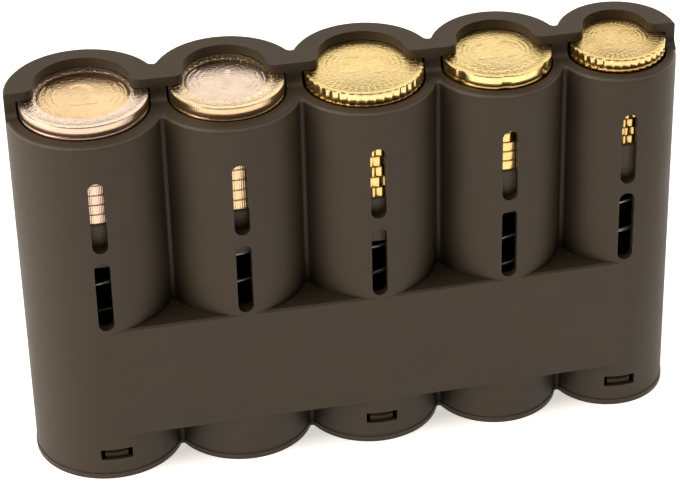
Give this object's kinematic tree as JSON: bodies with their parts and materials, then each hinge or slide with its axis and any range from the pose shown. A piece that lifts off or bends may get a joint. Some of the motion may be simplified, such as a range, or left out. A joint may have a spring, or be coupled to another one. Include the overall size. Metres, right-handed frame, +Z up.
{
  "type": "coin holder",
  "caption": "Hand-held coin holder: joined spring-loaded tubes of falling size with sight slots, thumb cut-outs in the lips and a clip-on base plate, filled with coins.",
  "frame": {"origin": "centre of the bounding box's bottom face, on the underside of the base plate", "axes": "+X along the row of tubes from the widest to the narrowest, +Y to the rear with the low rims and sight slots facing -Y, +Z up along the tubes"},
  "size_m": [0.136, 0.0314, 0.0847],
  "materials": {
    "housing_plastic": "fine matt moulded texture",
    "base_plastic": "fine matt moulded texture",
    "follower_plastic": "smooth satin",
    "spring_steel": "drawn wire",
    "coin_silver": "struck, softly worn",
    "coin_gold": "struck, softly worn",
    "coin_yellow": "struck, softly worn"
  },
  "bodies": {
    "holder": {"housing": "housing_plastic", "base_plate": "base_plastic", "spring_1": "spring_steel", "spring_2": "spring_steel", "spring_3": "spring_steel", "spring_4": "spring_steel", "spring_5": "spring_steel"},
    "stack_1": {"follower_1": "follower_plastic", "coins_1": "coin_silver"},
    "loose_coin_1": {"top_coin_ring_1": "coin_silver", "top_coin_core_1": "coin_gold"},
    "stack_2": {"follower_2": "follower_plastic", "coins_2": "coin_gold"},
    "loose_coin_2": {"top_coin_ring_2": "coin_gold", "top_coin_core_2": "coin_silver"},
    "stack_3": {"follower_3": "follower_plastic", "coins_3": "coin_yellow"},
    "loose_coin_3": {"top_coin_3": "coin_yellow"},
    "stack_4": {"follower_4": "follower_plastic", "coins_4": "coin_yellow"},
    "loose_coin_4": {"top_coin_4": "coin_yellow"},
    "stack_5": {"follower_5": "follower_plastic", "coins_5": "coin_yellow"},
    "loose_coin_5": {"top_coin_5": "coin_yellow"}
  },
  "joints": [
    {"name": "stack_1_press", "type": "slide", "parent": "holder", "child": "stack_1", "axis": [0, 0, 1], "range_m": [-0.022, 0], "stiffness_N_per_m": 90, "springref_m": 0.045, "deforming": ["spring_1"]},
    {"name": "stack_2_press", "type": "slide", "parent": "holder", "child": "stack_2", "axis": [0, 0, 1], "range_m": [-0.0233, 0], "stiffness_N_per_m": 90, "springref_m": 0.045, "deforming": ["spring_2"]},
    {"name": "stack_3_press", "type": "slide", "parent": "holder", "child": "stack_3", "axis": [0, 0, 1], "range_m": [-0.0238, 0], "stiffness_N_per_m": 90, "springref_m": 0.045, "deforming": ["spring_3"]},
    {"name": "stack_4_press", "type": "slide", "parent": "holder", "child": "stack_4", "axis": [0, 0, 1], "range_m": [-0.0214, 0], "stiffness_N_per_m": 90, "springref_m": 0.045, "deforming": ["spring_4"]},
    {"name": "stack_5_press", "type": "slide", "parent": "holder", "child": "stack_5", "axis": [0, 0, 1], "range_m": [-0.0193, 0], "stiffness_N_per_m": 90, "springref_m": 0.045, "deforming": ["spring_5"]},
    {"name": "coin_1_out", "type": "slide", "parent": "stack_1", "child": "loose_coin_1", "axis": [0, -1, 0], "range_m": [0, 0.02575]},
    {"name": "coin_2_out", "type": "slide", "parent": "stack_2", "child": "loose_coin_2", "axis": [0, -1, 0], "range_m": [0, 0.02325]},
    {"name": "coin_3_out", "type": "slide", "parent": "stack_3", "child": "loose_coin_3", "axis": [0, -1, 0], "range_m": [0, 0.02425]},
    {"name": "coin_4_out", "type": "slide", "parent": "stack_4", "child": "loose_coin_4", "axis": [0, -1, 0], "range_m": [0, 0.02225]},
    {"name": "coin_5_out", "type": "slide", "parent": "stack_5", "child": "loose_coin_5", "axis": [0, -1, 0], "range_m": [0, 0.01975]}
  ]
}
